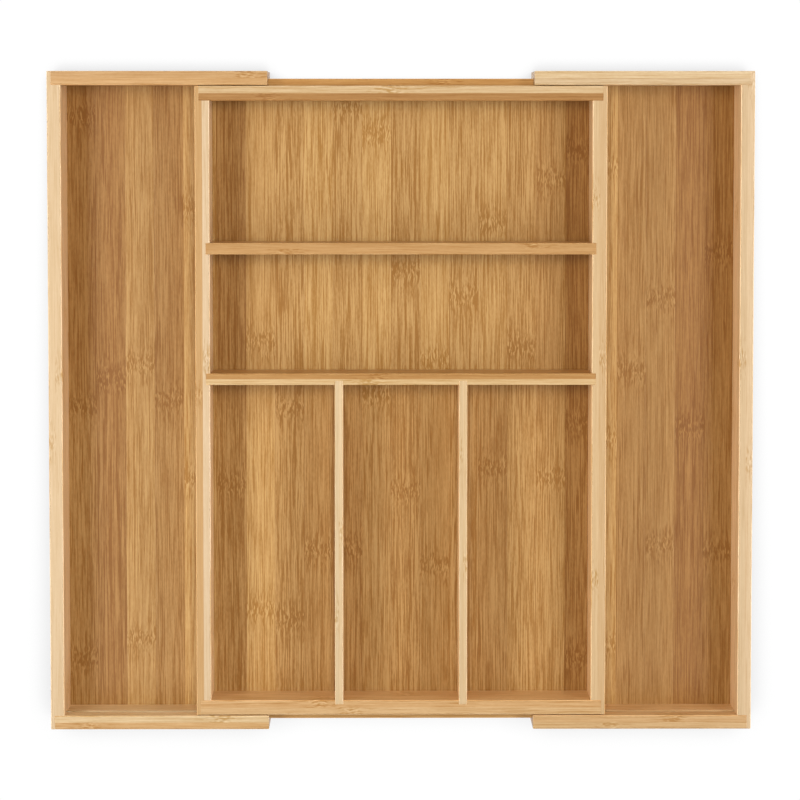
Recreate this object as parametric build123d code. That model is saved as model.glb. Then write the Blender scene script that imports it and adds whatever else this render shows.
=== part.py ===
"""Expandable drawer insert: a divided centre box between two side trays that slide out from under it.

Frame: +X towards the right tray, +Y towards the back, +Z up. The origin is on the drawer's bottom, at
the middle of the insert. Both trays are drawn fully out, against their stops. Sizes are millimetres.
"""
import os

from build123d import *

os.makedirs("parts", exist_ok=True)

# Driving dimensions
LENGTH = 450.0  # front to back, over the trays
EXTENDED_WIDTH = 480.0  # left to right, both trays out
TRAVEL = 90.0  # how far each tray slides in
HEIGHT = 50.0
BOX_WIDTH = 280.0  # the centre box, left to right
TRAY_WALL = 9.4  # thickness of the trays' walls, glued up from two plies
BOX_WALL = 10.0  # and of the centre box's
CROSS_DIVIDER = 7.8  # thickness of the two dividers that run left to right
LONG_DIVIDER = 5.6  # thickness of the two dividers that run front to back
PANEL = 4.0  # thickness of the floor panels

# Places of the dividers, measured to the middle of each
REAR_DIVIDER_Y = 104.6
MIDDLE_DIVIDER_Y = 15.7
LONG_DIVIDER_X = 42.4

# Joinery
LIP = 2.8  # what a corner rabbet leaves of a side wall
DADO = 2.8  # how deep a divider is let into a wall
PANEL_TONGUE = 4.0  # how deep a floor panel goes into the walls' grooves
TRAY_PANEL_Z = 1.5  # underside of a tray's floor
PANEL_LIP = 1.5  # how far the centre box's walls reach below its floor

# Sliding fits
SIDE_CLEARANCE = 0.6  # between the centre box and an arm, each side
UNDER_CLEARANCE = 0.7  # between a tray's floor and the centre box's walls
CLOSED_CLEARANCE = 0.5  # from an arm's free end to the middle, trays in
RAIL_HEIGHT = 5.4
RAIL_REACH = 5.0  # how far a rail stands out of the centre box
RAIL_LET_IN = 3.0
RAIL_DROP = 15.0  # from the rim down to a rail's upper face
GROOVE_CLEARANCE = 0.4  # above, below and beyond the rail

# Stops
STOP_WIDTH = 6.0
STOP_HEIGHT = 1.6
STOP_LENGTH = 380.0
STOP_GAP = 0.2  # from the stop to the centre box's side wall, tray fully out

# Eased edges
EDGE = 0.8  # long edges of the walls
CORNER_EDGE = 0.5  # free ends of the walls, upright corners included
FINE_EDGE = 0.5  # dividers, rails and panels
JOINT_EDGE = 0.25  # ends that meet another board

# Levels and faces that follow from these
TRAY_FLOOR_TOP = TRAY_PANEL_Z + PANEL
BOX_BOTTOM = TRAY_FLOOR_TOP + UNDER_CLEARANCE
BOX_PANEL_Z = BOX_BOTTOM + PANEL_LIP
BOX_FLOOR_TOP = BOX_PANEL_Z + PANEL
TRAY_SIDE_X = EXTENDED_WIDTH / 2  # outer face of a tray's side wall
TRAY_END_Y = LENGTH / 2  # outer face of an arm
ARM_END_X = TRAVEL + CLOSED_CLEARANCE  # free end of an arm, tray out
ARM_INNER_Y = TRAY_END_Y - TRAY_WALL
BOX_SIDE_X = BOX_WIDTH / 2
BOX_END_Y = ARM_INNER_Y - SIDE_CLEARANCE
BOX_INNER_X = BOX_SIDE_X - BOX_WALL
BOX_INNER_Y = BOX_END_Y - BOX_WALL
RAIL_Z = HEIGHT - RAIL_DROP - RAIL_HEIGHT / 2  # middle of a rail's height


def block(low, high):
    """A plain box between two corners."""
    size = [b - a for a, b in zip(low, high)]
    return Pos(*low) * Box(*size, align=(Align.MIN, Align.MIN, Align.MIN))


def board(low, high, edge, ends):
    """A board with its long edges eased by edge, and those round its two ends by ends = (low, high)."""
    size = [b - a for a, b in zip(low, high)]
    along = (Axis.X, Axis.Y, Axis.Z)[size.index(max(size))]
    wood = block(low, high)
    wood = fillet(wood.edges().filter_by(along), edge)
    for place, radius in zip((0, -1), ends):
        end_face = wood.faces().sort_by(along)[place]
        wood = fillet(end_face.edges(), radius)
    return wood


def both_sides(shape, plane):
    """A shape and its mirror image, in the order that the caller names them."""
    return shape, mirror(shape, about=plane)


def tray_side_wall():
    """The left tray's outer wall, rabbeted for the arms and grooved for the floor panel."""
    inner_x = -TRAY_SIDE_X + TRAY_WALL
    wall = board(
        (-TRAY_SIDE_X, -TRAY_END_Y, 0), (inner_x, TRAY_END_Y, HEIGHT), EDGE, (CORNER_EDGE, CORNER_EDGE)
    )
    back_rabbet = block((-TRAY_SIDE_X + LIP, ARM_INNER_Y, -1), (inner_x + 1, TRAY_END_Y + 1, HEIGHT + 1))
    panel_groove = block(
        (inner_x - PANEL_TONGUE, -ARM_INNER_Y, TRAY_PANEL_Z), (inner_x + 1, ARM_INNER_Y, TRAY_FLOOR_TOP)
    )
    for cut in (*both_sides(back_rabbet, Plane.XZ), panel_groove):
        wall -= cut
    return wall


def tray_arm():
    """The left tray's back wall, whose inside holds the rail's groove and the floor panel's groove."""
    start_x = -TRAY_SIDE_X + LIP
    arm = board((start_x, ARM_INNER_Y, 0), (-ARM_END_X, TRAY_END_Y, HEIGHT), EDGE, (JOINT_EDGE, CORNER_EDGE))
    rail_groove_y = BOX_END_Y + RAIL_REACH + GROOVE_CLEARANCE
    half_groove = RAIL_HEIGHT / 2 + GROOVE_CLEARANCE
    arm -= block(
        (start_x - 1, ARM_INNER_Y - 1, RAIL_Z - half_groove),
        (-ARM_END_X + 1, rail_groove_y, RAIL_Z + half_groove),
    )
    arm -= block(
        (start_x - 1, ARM_INNER_Y - 1, TRAY_PANEL_Z),
        (-ARM_END_X + 1, ARM_INNER_Y + PANEL_TONGUE, TRAY_FLOOR_TOP),
    )
    return arm


def tray_floor():
    """The left tray's floor panel, whose inner edge is free and runs under the centre box."""
    side = ARM_INNER_Y + PANEL_TONGUE
    panel = block(
        (-TRAY_SIDE_X + TRAY_WALL - PANEL_TONGUE, -side, TRAY_PANEL_Z), (-ARM_END_X, side, TRAY_FLOOR_TOP)
    )
    free_face = panel.faces().sort_by(Axis.X)[-1]
    return fillet(free_face.edges().filter_by(Axis.Y), FINE_EDGE)


def tray_stop():
    """A slat glued on the left tray's floor, which meets the centre box's side wall from inside."""
    start_x = -BOX_INNER_X + STOP_GAP
    low = (start_x, -STOP_LENGTH / 2, TRAY_FLOOR_TOP)
    high = (start_x + STOP_WIDTH, STOP_LENGTH / 2, TRAY_FLOOR_TOP + STOP_HEIGHT)
    return board(low, high, FINE_EDGE, (JOINT_EDGE, JOINT_EDGE))


def box_side_wall():
    """The centre box's left wall, rabbeted for the end walls, with dados for the cross dividers."""
    low = (-BOX_SIDE_X, -BOX_END_Y, BOX_BOTTOM)
    high = (-BOX_INNER_X, BOX_END_Y, HEIGHT)
    wall = board(low, high, EDGE, (CORNER_EDGE, CORNER_EDGE))
    back_rabbet = block(
        (-BOX_SIDE_X + LIP, BOX_INNER_Y, BOX_BOTTOM - 1), (-BOX_INNER_X + 1, BOX_END_Y + 1, HEIGHT + 1)
    )
    panel_groove = block(
        (-BOX_INNER_X - PANEL_TONGUE, -BOX_INNER_Y, BOX_PANEL_Z),
        (-BOX_INNER_X + 1, BOX_INNER_Y, BOX_FLOOR_TOP),
    )
    for cut in (*both_sides(back_rabbet, Plane.XZ), panel_groove):
        wall -= cut
    for middle_y in (REAR_DIVIDER_Y, MIDDLE_DIVIDER_Y):
        wall -= block(
            (-BOX_INNER_X - DADO, middle_y - CROSS_DIVIDER / 2, BOX_BOTTOM - 1),
            (-BOX_INNER_X + 1, middle_y + CROSS_DIVIDER / 2, HEIGHT + 1),
        )
    return wall


def long_dado(back_y, depth):
    """Cutters for both long dividers, reaching depth forward of the face at back_y."""
    return [
        block(
            (middle_x - LONG_DIVIDER / 2, back_y - depth, BOX_BOTTOM - 1),
            (middle_x + LONG_DIVIDER / 2, back_y, HEIGHT + 1),
        )
        for middle_x in (-LONG_DIVIDER_X, LONG_DIVIDER_X)
    ]


def box_end_wall():
    """The centre box's back wall, grooved inside for the floor panel and outside for the rail."""
    reach_x = BOX_SIDE_X - LIP
    wall = board(
        (-reach_x, BOX_INNER_Y, BOX_BOTTOM), (reach_x, BOX_END_Y, HEIGHT), EDGE, (JOINT_EDGE, JOINT_EDGE)
    )
    wall -= block(
        (-reach_x - 1, BOX_INNER_Y - 1, BOX_PANEL_Z), (reach_x + 1, BOX_INNER_Y + PANEL_TONGUE, BOX_FLOOR_TOP)
    )
    wall -= block(
        (-reach_x - 1, BOX_END_Y - RAIL_LET_IN, RAIL_Z - RAIL_HEIGHT / 2),
        (reach_x + 1, BOX_END_Y + 1, RAIL_Z + RAIL_HEIGHT / 2),
    )
    return wall


def box_front_wall():
    """The back wall's mirror image, with dados for the long dividers as well."""
    wall = mirror(box_end_wall(), about=Plane.XZ)
    for cut in long_dado(-BOX_INNER_Y + 1, DADO + 1):
        wall -= cut
    return wall


def rail():
    """The back rail, which stands out of the centre box and slides in both trays' arms."""
    reach_x = BOX_SIDE_X - LIP
    return board(
        (-reach_x, BOX_END_Y - RAIL_LET_IN, RAIL_Z - RAIL_HEIGHT / 2),
        (reach_x, BOX_END_Y + RAIL_REACH, RAIL_Z + RAIL_HEIGHT / 2),
        FINE_EDGE,
        (FINE_EDGE, FINE_EDGE),
    )


def box_floor():
    """The centre box's floor panel, held in grooves on all four sides."""
    side_x = BOX_INNER_X + PANEL_TONGUE
    side_y = BOX_INNER_Y + PANEL_TONGUE
    return block((-side_x, -side_y, BOX_PANEL_Z), (side_x, side_y, BOX_FLOOR_TOP))


def cross_divider(middle_y):
    """A divider that runs from one side wall's dado to the other's."""
    reach_x = BOX_INNER_X + DADO
    return board(
        (-reach_x, middle_y - CROSS_DIVIDER / 2, BOX_FLOOR_TOP),
        (reach_x, middle_y + CROSS_DIVIDER / 2, HEIGHT),
        FINE_EDGE,
        (JOINT_EDGE, JOINT_EDGE),
    )


def middle_divider():
    """The cross divider that also takes the long dividers' back ends, in dados on its front face."""
    divider = cross_divider(MIDDLE_DIVIDER_Y)
    front_y = MIDDLE_DIVIDER_Y - CROSS_DIVIDER / 2
    for cut in long_dado(front_y + DADO, DADO + 1):
        divider -= cut
    return divider


def long_divider():
    """The left divider of the front compartments, from the front wall to the middle divider."""
    front_y = -BOX_INNER_Y - DADO
    back_y = MIDDLE_DIVIDER_Y - CROSS_DIVIDER / 2 + DADO
    return board(
        (-LONG_DIVIDER_X - LONG_DIVIDER / 2, front_y, BOX_FLOOR_TOP),
        (-LONG_DIVIDER_X + LONG_DIVIDER / 2, back_y, HEIGHT),
        FINE_EDGE,
        (JOINT_EDGE, JOINT_EDGE),
    )


def centre_box():
    """Node name to solid, for everything fixed to the centre box."""
    left_wall, right_wall = both_sides(box_side_wall(), Plane.YZ)
    back_rail, front_rail = both_sides(rail(), Plane.XZ)
    left_divider, right_divider = both_sides(long_divider(), Plane.YZ)
    return {
        "centre_left_wall": left_wall,
        "centre_right_wall": right_wall,
        "centre_back_wall": box_end_wall(),
        "centre_front_wall": box_front_wall(),
        "centre_floor": box_floor(),
        "rear_cross_divider": cross_divider(REAR_DIVIDER_Y),
        "middle_cross_divider": middle_divider(),
        "left_long_divider": left_divider,
        "right_long_divider": right_divider,
        "back_rail": back_rail,
        "front_rail": front_rail,
    }


def side_trays():
    """Node name to solid, for both trays. The right tray is the left one's mirror image."""
    back_arm, front_arm = both_sides(tray_arm(), Plane.XZ)
    left = {
        "side_wall": tray_side_wall(),
        "back_arm": back_arm,
        "front_arm": front_arm,
        "floor": tray_floor(),
        "stop_strip": tray_stop(),
    }
    nodes = {}
    for name, shape in left.items():
        nodes["left_tray_" + name], nodes["right_tray_" + name] = both_sides(shape, Plane.YZ)
    return nodes


for node, solid in {**centre_box(), **side_trays()}.items():
    export_step(solid, f"parts/{node}.step")
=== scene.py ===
"""Looks of the expandable drawer insert: lacquered bamboo on every board, a white studio and the camera.

The boards are the CAD's own. Places in a board are in metres, as across the strips, through the
board's thickness and along the grain.
"""
import math

import bpy
from mathutils import Matrix, Vector

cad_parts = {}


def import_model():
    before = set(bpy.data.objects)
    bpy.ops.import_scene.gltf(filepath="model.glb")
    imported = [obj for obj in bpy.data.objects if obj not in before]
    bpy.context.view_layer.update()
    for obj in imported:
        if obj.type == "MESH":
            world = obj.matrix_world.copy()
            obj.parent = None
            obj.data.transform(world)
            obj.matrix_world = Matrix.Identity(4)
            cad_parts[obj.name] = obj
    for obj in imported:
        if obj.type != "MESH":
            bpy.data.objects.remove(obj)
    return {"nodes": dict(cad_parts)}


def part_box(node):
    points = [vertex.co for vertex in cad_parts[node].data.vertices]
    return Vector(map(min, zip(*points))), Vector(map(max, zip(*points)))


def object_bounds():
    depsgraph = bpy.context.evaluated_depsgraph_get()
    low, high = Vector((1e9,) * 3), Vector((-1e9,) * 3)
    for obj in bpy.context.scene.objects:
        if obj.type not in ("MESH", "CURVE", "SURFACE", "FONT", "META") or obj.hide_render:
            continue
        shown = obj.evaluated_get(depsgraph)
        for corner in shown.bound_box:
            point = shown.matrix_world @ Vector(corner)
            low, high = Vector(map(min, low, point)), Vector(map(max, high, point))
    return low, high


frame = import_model()
cad_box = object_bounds()

MM = 0.001
STRIP = 20.1 * MM  # width of the strips that the boards are glued up from
KNOT_SPACING = 0.26  # from knot to knot along a strip
EXPOSURE = 1.65  # how much light a level white surface sends back in this studio

# What the darkest and the lightest grain make of a board's red, green and blue
DARK_GRAIN = (0.75, 0.64, 0.41)
LIGHT_GRAIN = (1.23, 1.37, 1.64)
MIDDLE_GRAIN = 0.56  # where wood without a mark lies between the two
THREADS_TAKE = 0.22  # the share of the surface that threads take up

# How far each kind of mark moves the wood towards the light grain, or if below 0 towards the dark.
# bamboo_group() says what each mark is.
MARKS = {
    "hair": 2.5,
    "fine": 0.8,
    "medium": 0.35,
    "broad": 0.2,
    "specks": 0.9,
    "dashes": -1.0,
    "threads": -0.5,
    "seam": -0.3,
}
KNOT_MARKS = {"flecks": -4.8, "tails": -0.8, "band": -0.2}

# How far each stands up from the surface, as a share of RELIEF, and how much rougher it makes the lacquer
HEIGHTS = {"fine": 0.5, "medium": 0.3, "dashes": -0.5, "flecks": -1.0, "seam": -0.8}
RELIEF = 0.12 * MM
ROUGHER = {"smudge": 0.14, "dashes": 0.08, "flecks": 0.2, "end": 0.18}
LACQUER_ROUGHNESS = 0.40

SEAM_EDGE = 0.35 * MM  # how far from a glue line the wood starts to darken
SEAM_CORE = 0.1 * MM  # and where it is darkest
FIBRE_BUNDLE = 1.1 * MM  # from one bundle's cut end to the next
CUT_PALE = (0.82, 0.78, 0.72, 1.0)  # what an end face leaves of the colour between the bundles
CUT_DARK = (0.50, 0.40, 0.30, 1.0)  # and on them

# Painted light: a board's standing faces are coloured lighter than its level top edge, to stand in for light
# from the sides, and more so right of the middle
FACE_PAINTED_LIGHT = 1.53  # painted light: how much lighter a board's standing faces are made than its edges, if it runs left to right
LEFT_FACE_PAINTED_LIGHT = 1.98  # and if it runs front to back, left of the middle, also painted light
RIGHT_FACE_PAINTED_LIGHT = 2.2  # and right of the middle, painted light again
FACE_CONTRAST = 0.6  # how strongly the grain shows on a standing board's faces
PLAIN = 0.18  # and on its top edge, where the strips are cut along their narrow side
STREAKED = 0.36
DARKEST_STRIP = 0.95  # a board's strips are at random between this and
LIGHTEST_STRIP = 1.04  # this times the board's colour
LOWEST_SEAM = 0.31  # how far the inner ply's strips start below the insert's bottom, in strips
OUTER_SEAM = 0.37  # and how much lower the outer ply's start

# Each board's colour outside and inside its middle glue line, how strongly the grain shows on its top
# edge, and a number that sets its own grain. Colours are given as they look on a screen, 0 to 255, on a
# level face in the studio's light.
BOARDS = {
    "left_tray_side_wall": ((221, 187, 142), (221, 187, 142), PLAIN, 1),
    "left_tray_back_arm": ((206, 159, 103), (206, 159, 103), STREAKED, 2),
    "left_tray_front_arm": ((210, 164, 107), (219, 183, 132), STREAKED, 3),
    "right_tray_side_wall": ((218, 184, 140), (216, 181, 135), PLAIN, 4),
    "right_tray_back_arm": ((220, 186, 138), (216, 181, 134), STREAKED, 5),
    "right_tray_front_arm": ((210, 168, 114), (212, 166, 110), STREAKED, 6),
    "centre_left_wall": ((207, 160, 102), (223, 190, 148), PLAIN, 7),
    "centre_right_wall": ((214, 174, 123), (217, 180, 131), PLAIN, 8),
    "centre_back_wall": ((214, 178, 129), (180, 128, 70), STREAKED, 9),
    "centre_front_wall": ((212, 169, 115), (208, 161, 105), STREAKED, 10),
    "rear_cross_divider": ((197, 148, 90), (197, 148, 90), STREAKED, 11),
    "middle_cross_divider": ((189, 138, 78), (222, 182, 126), STREAKED, 12),
    "left_long_divider": ((224, 191, 145), (224, 191, 145), PLAIN, 13),
    "right_long_divider": ((224, 189, 141), (224, 189, 141), PLAIN, 14),
    "back_rail": ((210, 153, 84), (210, 153, 84), STREAKED, 15),
    # The front rail's colour is made lighter as painted light, standing in for the light that the front wall
    # keeps off it
    "front_rail": ((233, 179, 108), (233, 179, 108), STREAKED, 16),
    "left_tray_stop_strip": ((214, 172, 118), (214, 172, 118), PLAIN, 17),
    "right_tray_stop_strip": ((214, 172, 118), (214, 172, 118), PLAIN, 18),
}

# Floor panels, strip by strip from the left: how light the strip is at the back and at the front, 0 to 1,
# how strongly its grain shows, and where along it up to three knots are, in millimetres from the middle
# towards the back. NONE is past the panel's end. The change from back to front is partly the strip's own
# tone and partly painted shade, darker towards the front where the narrow compartments get less light.
NONE = 600
CENTRE_FLOOR = (
    (0.45, 0.45, 1.0, NONE, NONE, NONE),
    (0.16, 0.33, 1.05, -61, NONE, NONE),
    (0.58, 0.70, 0.7, 39, -148, NONE),
    (0.54, 0.45, 1.15, -7, -155, NONE),
    (0.72, 0.42, 0.85, -107, NONE, NONE),
    (0.56, 0.25, 1.1, 201, -104, NONE),
    (0.74, 0.42, 0.8, 183, 2, NONE),
    (0.52, 0.36, 1.15, 88, -65, NONE),
    (0.72, 0.40, 0.65, 26, -117, NONE),
    (0.57, 0.42, 0.95, 71, NONE, NONE),
    (0.62, 0.35, 0.8, 122, -49, NONE),
    (0.48, 0.50, 0.95, 35, NONE, NONE),
    (0.36, 0.49, 0.85, 151, -55, NONE),
    (0.02, 0.12, 1.1, 170, -17, -182),
)
LEFT_TRAY_FLOOR = (
    (0.10, 0.28, 0.9, 195, -7, -182),
    (0.16, 0.20, 0.8, 13, NONE, NONE),
    (0.54, 0.64, 0.68, 23, -170, NONE),
    (0.28, 0.44, 0.8, -1, NONE, NONE),
    (0.74, 0.92, 0.68, 131, -57, NONE),
    (0.50, 0.50, 0.8, -60, NONE, NONE),
    (0.58, 0.58, 0.8, 75, -150, NONE),
)
RIGHT_TRAY_FLOOR = (
    (0.42, 0.42, 0.8, 20, NONE, NONE),
    (0.36, 0.36, 0.8, 110, -90, NONE),
    (0.80, 0.86, 0.6, 160, -30, -172),
    (0.42, 0.36, 0.65, 19, NONE, NONE),
    (0.38, 0.36, 0.55, 68, -103, NONE),
    (0.08, 0.08, 0.65, -21, NONE, NONE),
    (0.04, 0.14, 0.75, 100, -108, NONE),
)
# Each panel's strips, the left edge of its first strip in millimetres, and a number for its grain
FLOORS = {
    "centre_floor": (CENTRE_FLOOR, -147.3, 21),
    "left_tray_floor": (LEFT_TRAY_FLOOR, -231.0, 22),
    "right_tray_floor": (RIGHT_TRAY_FLOOR, 90.1, 23),
}
FLOOR_DARK = (154, 103, 47)
FLOOR_LIGHT = (211, 164, 97)
FLOOR_CONTRAST = 1.05  # what every strip's own grain strength is multiplied by
FLOOR_CHANGE = 35 * MM  # how far from its middle a strip has changed to its tone at the back or front, own tone and painted shade


def albedo(screen_colour):
    """A screen colour as the linear colour of a surface that looks like it in the studio."""
    shares = [value / 255 for value in screen_colour]
    linear = [((s + 0.055) / 1.055) ** 2.4 for s in shares]
    return (*[value / EXPOSURE for value in linear], 1.0)


class Sketch:
    """Adds nodes to a node tree. A value is a number, a tuple or another node's socket."""

    def __init__(self, tree):
        self.tree = tree

    def node(self, kind, **settings):
        made = self.tree.nodes.new(kind)
        for name, value in settings.items():
            setattr(made, name, value)
        return made

    def feed(self, socket, value):
        if isinstance(value, bpy.types.NodeSocket):
            self.tree.links.new(value, socket)
        else:
            socket.default_value = value

    def calc(self, operation, a, b=0.0, clamp=False):
        made = self.node("ShaderNodeMath", operation=operation, use_clamp=clamp)
        self.feed(made.inputs[0], a)
        self.feed(made.inputs[1], b)
        return made.outputs[0]

    def add(self, *values):
        total = values[0]
        for value in values[1:]:
            total = self.calc("ADD", total, value)
        return total

    def times(self, a, b):
        return self.calc("MULTIPLY", a, b)

    def less(self, a, b):
        return self.calc("SUBTRACT", a, b)

    def size(self, value):
        return self.calc("ABSOLUTE", value)

    def mixed(self, strengths, marks):
        """The sum of the marks that have a strength, each times its own."""
        return self.add(*[self.times(marks[name], strength) for name, strength in strengths.items()])

    def split(self, vector):
        made = self.node("ShaderNodeSeparateXYZ")
        self.feed(made.inputs[0], vector)
        return made.outputs[0], made.outputs[1], made.outputs[2]

    def join(self, x, y, z):
        made = self.node("ShaderNodeCombineXYZ")
        for socket, value in zip(made.inputs, (x, y, z)):
            self.feed(socket, value)
        return made.outputs[0]

    def vector(self, operation, a, b):
        made = self.node("ShaderNodeVectorMath", operation=operation)
        self.feed(made.inputs[0], a)
        self.feed(made.inputs[1], b)
        return made.outputs[0]

    def streaks(self, place, width, length, detail=1.0):
        """Soft noise around 0. Its features are this wide, and this long along the grain, in millimetres."""
        scale = (1 / (width * MM), 1 / (width * MM), 1 / (length * MM))
        made = self.node("ShaderNodeTexNoise", noise_dimensions="3D")
        self.feed(made.inputs["Vector"], self.vector("MULTIPLY", place, scale))
        made.inputs["Scale"].default_value = 1.0
        made.inputs["Detail"].default_value = detail
        return self.less(made.outputs[0], 0.5)

    def lines(self, place, width, length, start, full):
        """0 to 1 as streaks of this size rise from start to full."""
        return self.span(self.streaks(place, width, length), start, full)

    def chance(self, cell):
        """Three random numbers, 0 to 1, that are the same all over a cell."""
        made = self.node("ShaderNodeTexWhiteNoise", noise_dimensions="3D")
        self.feed(made.inputs["Vector"], cell)
        return made.outputs["Color"]

    def span(self, value, start, end, low=0.0, high=1.0, smooth=True):
        """Goes from low to high as value goes from start to end, and stays there."""
        kind = "SMOOTHSTEP" if smooth else "LINEAR"
        made = self.node("ShaderNodeMapRange", interpolation_type=kind, clamp=True)
        for socket, number in zip(made.inputs, (value, start, end, low, high)):
            self.feed(socket, number)
        return made.outputs[0]

    def faces(self, component):
        """1 where a face looks along an axis, from the part of its normal along that axis."""
        return self.span(self.size(component), 0.75, 0.9)

    def blend(self, share, a, b, mode="MIX"):
        made = self.node("ShaderNodeMix", data_type="RGBA", blend_type=mode)
        self.feed(made.inputs[0], share)
        self.feed(made.inputs[6], a)
        self.feed(made.inputs[7], b)
        return made.outputs[2]


def empty_sketch(owner):
    """A sketch of a material's or a world's node tree, with nothing in it."""
    owner.use_nodes = True
    owner.node_tree.nodes.clear()
    return Sketch(owner.node_tree)


def group_tree(name, inputs, outputs):
    """An empty node group with these sockets, its inputs by name, and a function that sets its outputs."""
    tree = bpy.data.node_groups.new(name, "ShaderNodeTree")
    for direction, sockets in (("INPUT", inputs), ("OUTPUT", outputs)):
        for label, kind in sockets.items():
            tree.interface.new_socket(label, in_out=direction, socket_type="NodeSocket" + kind)
    source = tree.nodes.new("NodeGroupInput")
    sink = tree.nodes.new("NodeGroupOutput")

    def put(label, value):
        tree.links.new(value, sink.inputs[label])

    return tree, {label: source.outputs[label] for label in inputs}, put


def bamboo_group():
    """Grain, knots, glue lines and end grain of one bamboo strip."""
    tree, given, put = group_tree(
        "bamboo",
        {
            "Place": "Vector",
            "Cell": "Vector",
            "Tone": "Color",
            "Knot": "Float",
            "Seam": "Float",
            "End": "Float",
            "Contrast": "Float",
        },
        {"Color": "Color", "Roughness": "Float", "Height": "Float"},
    )
    s = Sketch(tree)
    farthest = (0.7, 0.7, 3.0)  # each strip is cut from its own place in a large block of grain
    place = s.vector("ADD", given["Place"], s.vector("MULTIPLY", s.chance(given["Cell"]), farthest))

    # A knot is a band across the strip, with a ragged edge, that pushes the fibres aside
    to_knot = s.size(given["Knot"])
    teeth = s.times(s.streaks(place, 1.6, 40), 16 * MM)
    band = s.span(s.size(s.add(given["Knot"], teeth)), 7.5 * MM, 3 * MM)
    near_knot = s.span(to_knot, 16 * MM, 3 * MM)
    swerve = s.times(s.times(s.streaks(place, 3.5, 6), near_knot), 1.6 * MM)
    sway = s.times(s.streaks(place, 16, 220), 2 * MM)
    sideways = s.add(swerve, sway)
    fibres = s.vector("ADD", place, s.join(sideways, sideways, 0.0))

    # Hair to broad are the grain's streaks, from thin to wide, and specks are short ones. Dashes are thin
    # dark lines in patches, and threads are longer. Flecks lie on a knot, and tails run on from it.
    thin_lines = s.lines(fibres, 0.8, 26, start=0.03, full=0.14)
    patches = s.lines(fibres, 4, 70, start=-0.15, full=0.20)
    threads = s.lines(fibres, 1.0, 130, start=0.04, full=0.13)
    tails = s.lines(fibres, 0.9, 8, start=0.05, full=0.16)
    near_tails = s.span(to_knot, 24 * MM, 5 * MM)
    marks = {
        "hair": s.streaks(fibres, 0.7, 27),
        "fine": s.streaks(fibres, 1.25, 150),
        "medium": s.streaks(fibres, 2.6, 240),
        "broad": s.streaks(fibres, 9, 350),
        "specks": s.streaks(place, 0.8, 3.2),
        "dashes": s.times(thin_lines, patches),
        "threads": s.less(threads, THREADS_TAKE),
        "seam": given["Seam"],
        "flecks": s.times(band, s.streaks(fibres, 0.8, 4)),
        "tails": s.times(tails, near_tails),
        "band": band,
        "smudge": s.streaks(given["Place"], 45, 60, detail=3.0),
        "end": given["End"],
    }
    knots = s.times(s.mixed(KNOT_MARKS, marks), s.calc("SQRT", given["Contrast"]))
    grain = s.add(s.times(s.mixed(MARKS, marks), given["Contrast"]), knots, MIDDLE_GRAIN)
    tint = s.blend(s.calc("ADD", grain, 0.0, clamp=True), (*DARK_GRAIN, 1.0), (*LIGHT_GRAIN, 1.0))
    along_grain = s.blend(1.0, given["Tone"], tint, "MULTIPLY")

    # End grain: the cut ends of the fibre bundles
    bundles = s.node("ShaderNodeTexVoronoi", voronoi_dimensions="2D")
    scale = (1 / FIBRE_BUNDLE, 1 / FIBRE_BUNDLE, 0.0)
    s.feed(bundles.inputs["Vector"], s.vector("MULTIPLY", place, scale))
    bundles.inputs["Scale"].default_value = 1.0
    dots = s.span(bundles.outputs["Distance"], 0.42, 0.2)
    end_grain = s.blend(1.0, given["Tone"], s.blend(dots, CUT_PALE, CUT_DARK), "MULTIPLY")

    put("Color", s.blend(given["End"], along_grain, end_grain))
    put("Roughness", s.add(s.mixed(ROUGHER, marks), LACQUER_ROUGHNESS))
    put("Height", s.mixed(HEIGHTS, marks))
    return tree


def finish_material(s, group, values, name):
    """Feeds these values to the bamboo group and joins it to a lacquered surface."""
    grain = s.node("ShaderNodeGroup", node_tree=group)
    for label, value in values.items():
        s.feed(grain.inputs[label], value)
    relief = s.node("ShaderNodeBump")
    relief.inputs["Strength"].default_value = 0.35
    relief.inputs["Distance"].default_value = RELIEF
    s.feed(relief.inputs["Height"], grain.outputs["Height"])
    surface = s.node("ShaderNodeBsdfPrincipled", name=name)
    surface.inputs["Coat Weight"].default_value = 0.18
    surface.inputs["Coat Roughness"].default_value = 0.22
    surface.inputs["Specular IOR Level"].default_value = 0.4
    s.feed(surface.inputs["Base Color"], grain.outputs["Color"])
    s.feed(surface.inputs["Roughness"], grain.outputs["Roughness"])
    s.feed(surface.inputs["Normal"], relief.outputs["Normal"])
    output = s.node("ShaderNodeOutputMaterial")
    s.feed(output.inputs["Surface"], surface.outputs[0])


def new_material(name):
    """A material, its sketch, and the three parts of a point's place and of its normal."""
    material = bpy.data.materials.new(name)
    s = empty_sketch(material)
    coordinates = s.node("ShaderNodeTexCoord")
    return material, s, s.split(coordinates.outputs["Object"]), s.split(coordinates.outputs["Normal"])


def seam_of(s, strips):
    """1 on the glue line between two strips, from a place counted in strips."""
    from_middle = s.size(s.less(s.calc("FRACT", strips), 0.5))
    return s.span(from_middle, 0.5 - SEAM_EDGE / STRIP, 0.5 - SEAM_CORE / STRIP)


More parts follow.
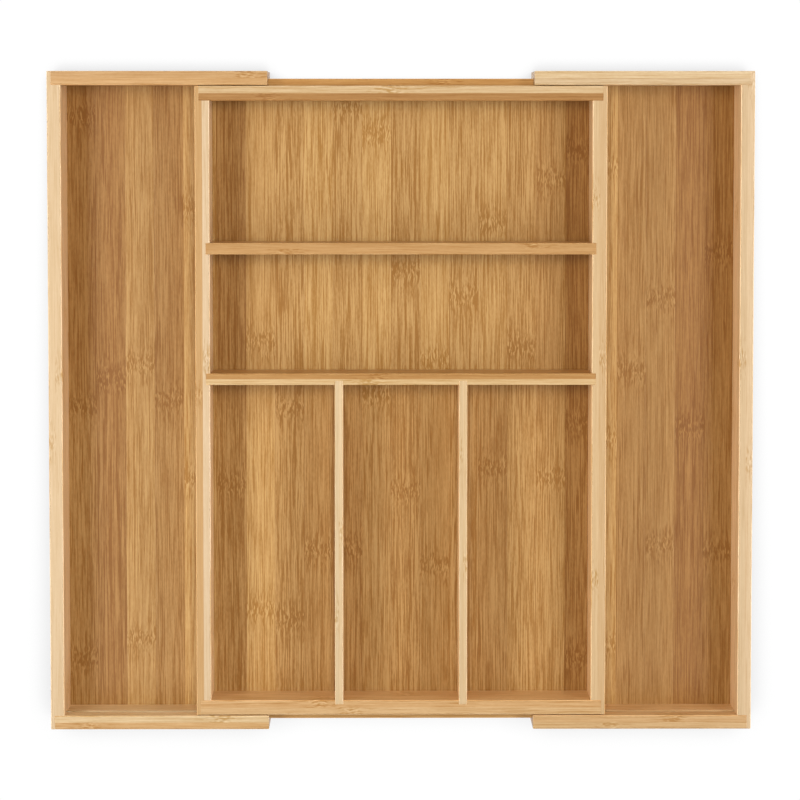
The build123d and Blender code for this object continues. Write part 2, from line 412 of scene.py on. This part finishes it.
def board_material(node, group):
    """Bamboo for a standing board: two plies, each of strips laid one above the other."""
    outer, inner, edge_contrast, number = BOARDS[node]
    low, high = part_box(node)
    middle = (low + high) / 2
    runs_along_x = (high - low).x > (high - low).y
    material, s, place, normal = new_material("bamboo_" + node)
    along, through = (place[0], place[1]) if runs_along_x else (place[1], place[0])
    end = normal[0] if runs_along_x else normal[1]
    centre = middle.y if runs_along_x else middle.x
    outward = math.copysign(1.0, centre)
    depth = s.times(s.less(through, centre), outward)
    is_outer = s.calc("GREATER_THAN", depth, 0.0)
    strips = s.add(s.calc("DIVIDE", place[2], STRIP), LOWEST_SEAM, s.times(is_outer, OUTER_SEAM))
    cell = s.join(s.calc("FLOOR", strips), is_outer, float(number))
    chance = s.split(s.chance(cell))
    tone = s.blend(is_outer, albedo(inner), albedo(outer))
    level = s.faces(normal[2])
    # Painted light: standing faces get a lighter colour than the level top edge, by a factor for the board's
    # side; this multiplies each strip's own random shade
    side_painted_light = RIGHT_FACE_PAINTED_LIGHT if middle.x > 0 else LEFT_FACE_PAINTED_LIGHT
    face_painted_light = FACE_PAINTED_LIGHT if runs_along_x else side_painted_light
    own_shade = s.span(chance[0], 0.0, 1.0, DARKEST_STRIP, LIGHTEST_STRIP, smooth=False)
    strip_shade_and_painted_light = s.times(own_shade, s.span(level, 0.0, 1.0, face_painted_light, 1.0))
    tone = s.vector("MULTIPLY", tone, s.join(strip_shade_and_painted_light, strip_shade_and_painted_light, strip_shade_and_painted_light))

    # Knots stand at even spaces along a strip, from a random start
    turns = s.add(s.calc("DIVIDE", along, KNOT_SPACING), chance[1])
    knot = s.times(s.less(s.calc("FRACT", turns), 0.5), KNOT_SPACING)
    values = {
        "Place": s.join(place[2], depth, along),
        "Cell": cell,
        "Tone": tone,
        "Knot": knot,
        "Seam": seam_of(s, strips),
        "End": s.faces(end),
        "Contrast": s.span(level, 0.0, 1.0, FACE_CONTRAST, edge_contrast),
    }
    finish_material(s, group, values, node)
    return material


def lookup(s, index, rows):
    """The three numbers of the row that index counts to, as sockets."""
    table = s.node("ShaderNodeValToRGB")
    s.feed(table.inputs[0], s.calc("DIVIDE", s.add(index, 0.5), len(rows)))
    ramp = table.color_ramp
    ramp.interpolation = "CONSTANT"
    while len(ramp.elements) < len(rows):
        ramp.elements.new(0.5)
    for slot, row in enumerate(rows):
        ramp.elements[slot].position = slot / len(rows)
        ramp.elements[slot].color = (*row, 1.0)
    split = s.node("ShaderNodeSeparateColor")
    s.feed(split.inputs[0], table.outputs[0])
    return split.outputs[0], split.outputs[1], split.outputs[2]


def floor_material(node, group):
    """Bamboo for a floor panel: strips side by side, each with its own tone and knots."""
    rows, start, number = FLOORS[node]
    low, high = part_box(node)
    material, s, place, normal = new_material("bamboo_" + node)
    strips = s.calc("DIVIDE", s.less(place[0], start * MM), STRIP)
    index = s.calc("MAXIMUM", s.calc("MINIMUM", s.calc("FLOOR", strips), len(rows) - 1.0), 0.0)
    reach = high.y - low.y
    rear, front, contrast = lookup(s, index, [row[:3] for row in rows])
    knots = lookup(s, index, [[knot * MM / reach + 0.5 for knot in row[3:]] for row in rows])
    # From the front tone to the back tone along the strip: partly the strip's own tone, partly painted shade
    light = s.span(place[1], -FLOOR_CHANGE, FLOOR_CHANGE, front, rear)
    share = s.add(s.calc("DIVIDE", place[1], reach), 0.5)
    nearest = s.less(share, knots[0])
    for knot in knots[1:]:
        other = s.less(share, knot)
        closer = s.calc("LESS_THAN", s.size(other), s.size(nearest))
        nearest = s.add(nearest, s.times(closer, s.less(other, nearest)))
    values = {
        "Place": s.join(place[0], place[2], place[1]),
        "Cell": s.join(index, 0.0, float(number)),
        "Tone": s.blend(light, albedo(FLOOR_DARK), albedo(FLOOR_LIGHT)),
        "Knot": s.times(nearest, reach),
        "Seam": seam_of(s, strips),
        "End": s.faces(normal[1]),
        "Contrast": s.times(contrast, FLOOR_CONTRAST),
    }
    finish_material(s, group, values, node)
    return material


def dress():
    """Gives every board its material."""
    group = bamboo_group()
    for name, piece in frame["nodes"].items():
        make = floor_material if name in FLOORS else board_material
        piece.data.materials.clear()
        piece.data.materials.append(make(name, group))


def stage_floor():
    """A white light table with a soft contact shadow. From below it is clear, to show the underside."""
    half = 8.0
    level = cad_box[0].z - 0.3 * MM
    corners = [(x * half, y * half, level) for x, y in ((-1, -1), (1, -1), (1, 1), (-1, 1))]
    mesh = bpy.data.meshes.new("studio_floor")
    mesh.from_pydata(corners, [], [(0, 1, 2, 3)])
    floor = bpy.data.objects.new("studio_floor", mesh)
    bpy.context.scene.collection.objects.link(floor)
    material = bpy.data.materials.new("studio_white")
    s = empty_sketch(material)
    along_y = s.split(s.node("ShaderNodeTexCoord").outputs["Object"])[1]
    shadow_reach = s.span(along_y, 0.25, -0.25, 12 * MM, 28 * MM, smooth=False)  # back to front
    openness = s.node("ShaderNodeAmbientOcclusion", samples=8)
    s.feed(openness.inputs["Distance"], shadow_reach)
    darkest = 0.54
    white = 1.01
    strength = s.span(openness.outputs["AO"], 0.0, 0.92, darkest, white, smooth=False)
    glow = s.node("ShaderNodeEmission")
    s.feed(glow.inputs["Strength"], strength)
    clear = s.node("ShaderNodeBsdfTransparent")
    back = s.node("ShaderNodeNewGeometry").outputs["Backfacing"]
    shadow = s.node("ShaderNodeLightPath").outputs["Is Shadow Ray"]
    mixed = s.node("ShaderNodeMixShader")
    s.feed(mixed.inputs[0], s.calc("MAXIMUM", back, shadow))
    s.feed(mixed.inputs[1], glow.outputs[0])
    s.feed(mixed.inputs[2], clear.outputs[0])
    s.feed(s.node("ShaderNodeOutputMaterial").inputs["Surface"], mixed.outputs[0])
    mesh.materials.append(material)


def lamp(name, place, target, width, length, power, mirrored=True):
    """A soft box that shines at target and isn't seen itself, or only by its reflection."""
    light = bpy.data.lights.new(name, "AREA")
    light.shape = "RECTANGLE"
    light.size = width
    light.size_y = length
    light.energy = power
    holder = bpy.data.objects.new(name, light)
    bpy.context.scene.collection.objects.link(holder)
    backwards = (Vector(place) - Vector(target)).normalized()
    holder.matrix_world = Matrix.Translation(place) @ facing(backwards)
    holder.visible_camera = False
    holder.visible_glossy = mirrored


def facing(backwards):
    """A rotation whose Z axis is backwards, and whose Y axis is as near to +Y as it can be."""
    x_axis = Vector((0, 1, 0)).cross(backwards).normalized()
    y_axis = backwards.cross(x_axis)
    return Matrix((x_axis, y_axis, backwards)).transposed().to_4x4()


def world(light, seen):
    """An even sky above the horizon that gives this much light, and is seen as this white."""
    sky = bpy.data.worlds.new("studio_sky")
    bpy.context.scene.world = sky
    s = empty_sketch(sky)
    up = s.split(s.node("ShaderNodeTexCoord").outputs["Generated"])[2]
    direct = s.node("ShaderNodeLightPath").outputs["Is Camera Ray"]
    lit = s.span(up, -0.02, 0.0, 0.0, light)
    background = s.node("ShaderNodeBackground")
    s.feed(background.inputs["Strength"], s.add(lit, s.times(direct, s.less(seen, lit))))
    s.feed(s.node("ShaderNodeOutputWorld").inputs["Surface"], background.outputs[0])


def studio():
    stage_floor()
    world(light=0.27, seen=1.02)
    for side, name, power in ((-1, "left_softbox", 4.2), (1, "right_softbox", 3.6)):
        place = (side * 0.5, 0.0, 0.62)
        target = (side * 0.185, 0.0, 0.0)
        lamp(name, place, target, width=0.2, length=1.1, power=power)
    middle = (0.0, 0.0, 0.0)
    lamp("top_softbox", (0.0, 0.27, 1.8), middle, width=0.4, length=0.6, power=27.4, mirrored=False)
    lamp("under_lamp", (0.0, 0.001, -1.6), middle, width=1.5, length=1.5, power=40.0)


def camera():
    """Almost straight above, a little towards the back. Aim and shift put the insert in mid-frame."""
    rim = cad_box[1].z
    place = Vector((-0.014, 0.184, rim + 2.24))
    aim = Vector((-0.0007, 0.0343, rim))
    data = bpy.data.cameras.new("camera")
    data.sensor_width = 36.0
    data.lens = 148.4
    data.shift_y = -0.06
    data.clip_start = 0.1
    data.clip_end = 50.0
    viewer = bpy.data.objects.new("camera", data)
    bpy.context.scene.collection.objects.link(viewer)
    viewer.matrix_world = Matrix.Translation(place) @ facing((place - aim).normalized())
    bpy.context.scene.camera = viewer


def display():
    settings = bpy.context.scene.view_settings
    settings.view_transform = "Standard"
    settings.look = "None"


dress()
studio()
camera()
display()
